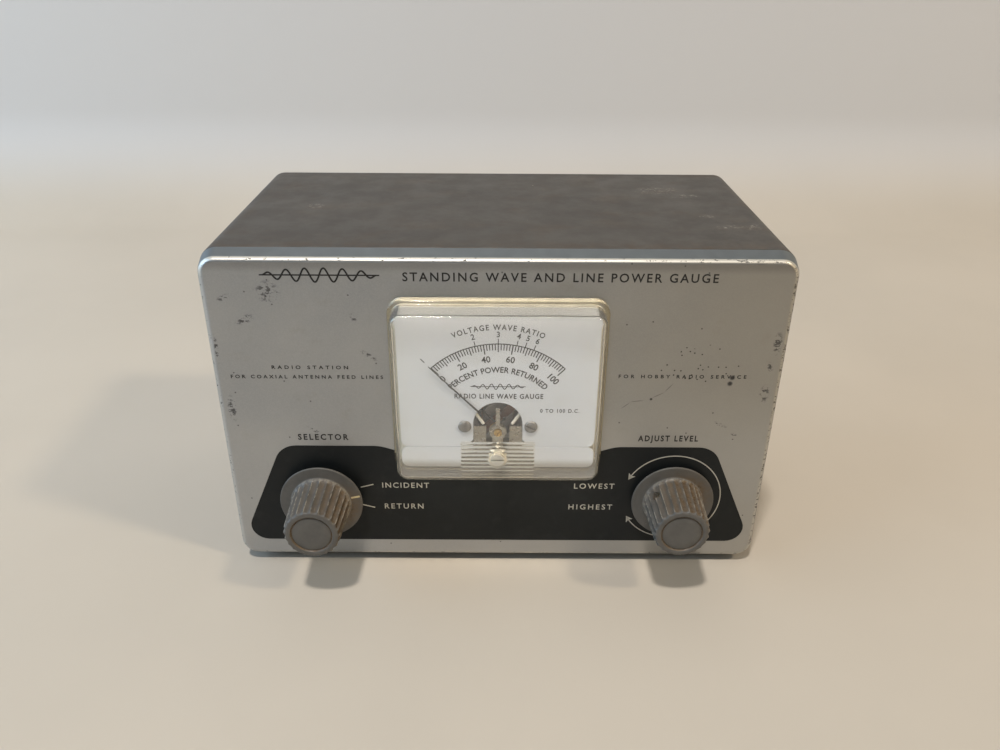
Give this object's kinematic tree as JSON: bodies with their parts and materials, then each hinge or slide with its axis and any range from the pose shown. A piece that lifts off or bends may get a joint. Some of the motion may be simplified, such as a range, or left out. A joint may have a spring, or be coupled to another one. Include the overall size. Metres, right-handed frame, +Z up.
{
  "type": "swr meter",
  "caption": "Bench SWR meter in a sheet metal case, with a clear-fronted moving-coil meter above a function switch and a sensitivity control, and coaxial jacks at the back.",
  "frame": {"origin": "on the surface it stands on, under the middle of the whole object's box, knobs and jacks included", "axes": "+X to the right seen from the front, +Y towards the jacks at the back, +Z up; the face looks along -Y"},
  "size_m": [0.1872, 0.1368, 0.1197],
  "materials": {
    "panel_paint": "satin silver-grey paint, scuffed",
    "cabinet_paint": "dark warm grey paint, worn",
    "rubber": "matte",
    "plated_steel": "dull zinc plating",
    "chassis_aluminium": "plain sheet",
    "knob_plastic": "warm grey moulded plastic, grimy flutes",
    "clear_plastic": "clear, slightly yellowed, polished",
    "ivory_plastic": "satin",
    "dial_paint": "silver-white",
    "needle_black": "matte black",
    "soft_iron": "dull",
    "magnet": "cast, dull",
    "copper": "enamelled copper",
    "brass": "turned",
    "nickel": "dull nickel plate",
    "phenolic": "brown laminate",
    "polystyrene": "milky",
    "red_insulation": "smooth",
    "resistor_body": "moulded",
    "ceramic": "dipped ceramic"
  },
  "bodies": {
    "case": {"front_panel": "panel_paint", "cabinet_shell": "cabinet_paint", "rear_panel": "cabinet_paint", "case_feet": "rubber", "foot_screws": "plated_steel", "hex_nuts": "plated_steel", "chassis": "chassis_aluminium", "wire_grommet": "rubber", "switch_frame": "plated_steel", "switch_detent_spring": "brass", "switch_wafer": "phenolic", "switch_contacts": "nickel", "control_nuts": "plated_steel", "pot_bushing": "plated_steel", "pot_cover": "plated_steel", "pot_element": "phenolic", "pot_terminals": "nickel", "meter_cover": "clear_plastic", "meter_base": "ivory_plastic", "meter_studs": "nickel", "dial_plate": "dial_paint", "dial_screws": "plated_steel", "dial_lower_mask": "dial_paint", "meter_pole_pieces": "soft_iron", "meter_magnet": "magnet", "meter_core": "soft_iron", "front_bridge": "nickel", "rear_bridge": "brass", "jewel_screws": "brass", "hairspring": "brass", "pointer_stops": "ivory_plastic", "meter_terminals": "brass", "transmitter_jack": "nickel", "antenna_jack": "nickel", "jack_insulators": "phenolic", "jack_contacts": "nickel", "panel_screws": "plated_steel", "line_trough": "chassis_aluminium", "line_conductor": "brass", "line_spacers": "polystyrene", "pickup_wires": "copper", "diodes": "resistor_body", "load_resistors": "resistor_body", "bypass_capacitors": "ceramic", "terminal_strip": "phenolic", "hookup_wires": "red_insulation"},
    "function_control": {"function_knob": "knob_plastic", "function_knob_set_screw": "brass", "function_shaft": "plated_steel", "switch_index_wheel": "brass", "switch_rotor": "phenolic"},
    "sensitivity_control": {"sensitivity_knob": "knob_plastic", "sensitivity_knob_set_screw": "brass", "pot_shaft": "plated_steel", "pot_wiper": "brass"},
    "needle_and_coil": {"needle": "needle_black", "moving_coil": "copper"},
    "zero_screw": {"zero_adjust_screw": "ivory_plastic"},
    "zero_arm": {"zero_lever": "nickel"}
  },
  "joints": [
    {"name": "function_turn", "type": "hinge", "parent": "case", "child": "function_control", "pos_m": [-0.0616, -0.046, 0.0293], "axis": [0, 1, 0], "range_deg": [0, 30]},
    {"name": "sensitivity_turn", "type": "hinge", "parent": "case", "child": "sensitivity_control", "pos_m": [0.0616, -0.046, 0.0293], "axis": [0, 1, 0], "range_deg": [-192, 108]},
    {"name": "needle_sweep", "type": "hinge", "parent": "case", "child": "needle_and_coil", "pos_m": [0, -0.046, 0.0602], "axis": [0, 1, 0], "range_deg": [-2, 90], "stiffness_Nm_per_rad": 0.00002},
    {"name": "zero_adjust_turn", "type": "hinge", "parent": "case", "child": "zero_screw", "pos_m": [0, -0.058, 0.0523], "axis": [0, 1, 0], "range_deg": [-60, 60]},
    {"name": "zero_arm_swing", "type": "hinge", "parent": "case", "child": "zero_arm", "pos_m": [0, -0.046, 0.0602], "axis": [0, 1, 0], "range_deg": [-9.2, 9.2]}
  ],
  "couplings": [
    {"joint": "zero_arm_swing", "follows": "zero_adjust_turn", "ratio": -0.15}
  ]
}
